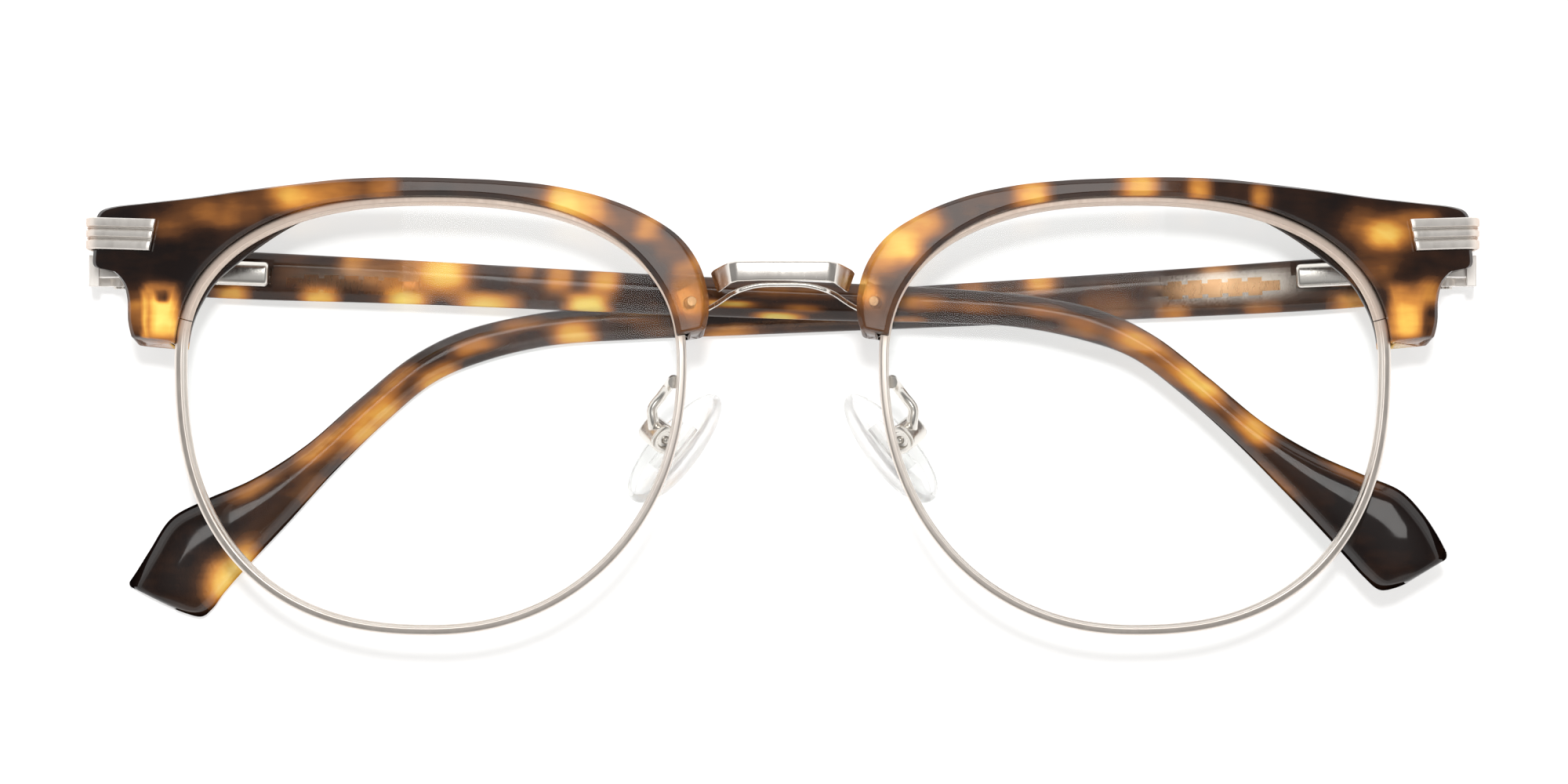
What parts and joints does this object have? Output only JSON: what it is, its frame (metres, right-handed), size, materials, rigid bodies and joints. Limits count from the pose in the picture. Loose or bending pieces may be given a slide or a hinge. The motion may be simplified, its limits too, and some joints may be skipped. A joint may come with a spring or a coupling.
{
  "type": "half rim eyeglasses",
  "caption": "Combination eyeglasses with round metal eyewires, acetate brow bars over the upper half, sprung folding acetate temples and clear nose pads.",
  "frame": {"origin": "middle of the outline of the folded glasses, on the surface they lie on", "axes": "+X towards the wearer's left side, +Y towards the brow, +Z out of the front"},
  "size_m": [0.1388, 0.0456, 0.0214],
  "materials": {
    "silver_metal": "polished pale silver plating with a warm tint",
    "screw_steel": "turned steel",
    "spring_steel": "drawn spring wire",
    "core_wire": "copper-gold nickel silver wire",
    "tortoise_acetate": "polished tortoiseshell cellulose acetate, dark brown to amber",
    "lens": "clear, polished",
    "pad_silicone": "clear soft silicone"
  },
  "bodies": {
    "front": {"bridge_bar": "silver_metal", "bridge_arch": "silver_metal", "lens_right": "lens", "eyewire_right": "silver_metal", "closing_block_upper_right": "silver_metal", "closing_block_lower_right": "silver_metal", "rim_screw_right": "screw_steel", "brow_right": "tortoise_acetate", "brow_screw_outer_right": "screw_steel", "brow_screw_inner_right": "screw_steel", "bridge_lug_right": "silver_metal", "corner_clasp_right": "silver_metal", "endpiece_right": "silver_metal", "hinge_screw_right": "screw_steel", "pad_arm_right": "silver_metal", "pad_box_right": "silver_metal", "pad_screw_right": "screw_steel", "lens_left": "lens", "eyewire_left": "silver_metal", "closing_block_upper_left": "silver_metal", "closing_block_lower_left": "silver_metal", "rim_screw_left": "screw_steel", "brow_left": "tortoise_acetate", "brow_screw_outer_left": "screw_steel", "brow_screw_inner_left": "screw_steel", "bridge_lug_left": "silver_metal", "corner_clasp_left": "silver_metal", "endpiece_left": "silver_metal", "hinge_screw_left": "screw_steel", "pad_arm_left": "silver_metal", "pad_box_left": "silver_metal", "pad_screw_left": "screw_steel"},
    "right_slider": {"hinge_slider_right": "silver_metal", "hinge_spring_right": "spring_steel"},
    "left_slider": {"hinge_slider_left": "silver_metal", "hinge_spring_left": "spring_steel"},
    "right_temple": {"temple_right": "tortoise_acetate", "hinge_casing_right": "silver_metal", "core_wire_right": "core_wire"},
    "left_temple": {"temple_left": "tortoise_acetate", "hinge_casing_left": "silver_metal", "core_wire_left": "core_wire"},
    "right_pad": {"nose_pad_right": "pad_silicone", "pad_insert_right": "pad_silicone"},
    "left_pad": {"nose_pad_left": "pad_silicone", "pad_insert_left": "pad_silicone"}
  },
  "joints": [
    {"name": "left_temple_fold", "type": "hinge", "parent": "front", "child": "left_slider", "pos_m": [0.0662, 0.01338, 0.0036], "axis": [0.007, -1, 0], "range_deg": [0, 90]},
    {"name": "right_temple_fold", "type": "hinge", "parent": "front", "child": "right_slider", "pos_m": [-0.0662, 0.01338, 0.0036], "axis": [-0.007, 1, 0], "range_deg": [0, 94.6]},
    {"name": "left_temple_spring", "type": "slide", "parent": "left_slider", "child": "left_temple", "axis": [-0.9987, -0.0506, 0], "range_m": [0, 0.0011], "stiffness_N_per_m": 1500, "springref_m": -0.0006},
    {"name": "right_temple_spring", "type": "slide", "parent": "right_slider", "child": "right_temple", "axis": [0.9961, -0.0367, 0.0801], "range_m": [0, 0.0011], "stiffness_N_per_m": 1500, "springref_m": -0.0006},
    {"name": "left_pad_rock", "type": "hinge", "parent": "front", "child": "left_pad", "pos_m": [0.01216, -0.00291, 0.0132], "axis": [-0.4092, -0.3366, 0.8481], "range_deg": [-8, 8]},
    {"name": "right_pad_rock", "type": "hinge", "parent": "front", "child": "right_pad", "pos_m": [-0.01216, -0.00291, 0.0132], "axis": [0.4092, -0.3366, 0.8481], "range_deg": [-8, 8]}
  ]
}
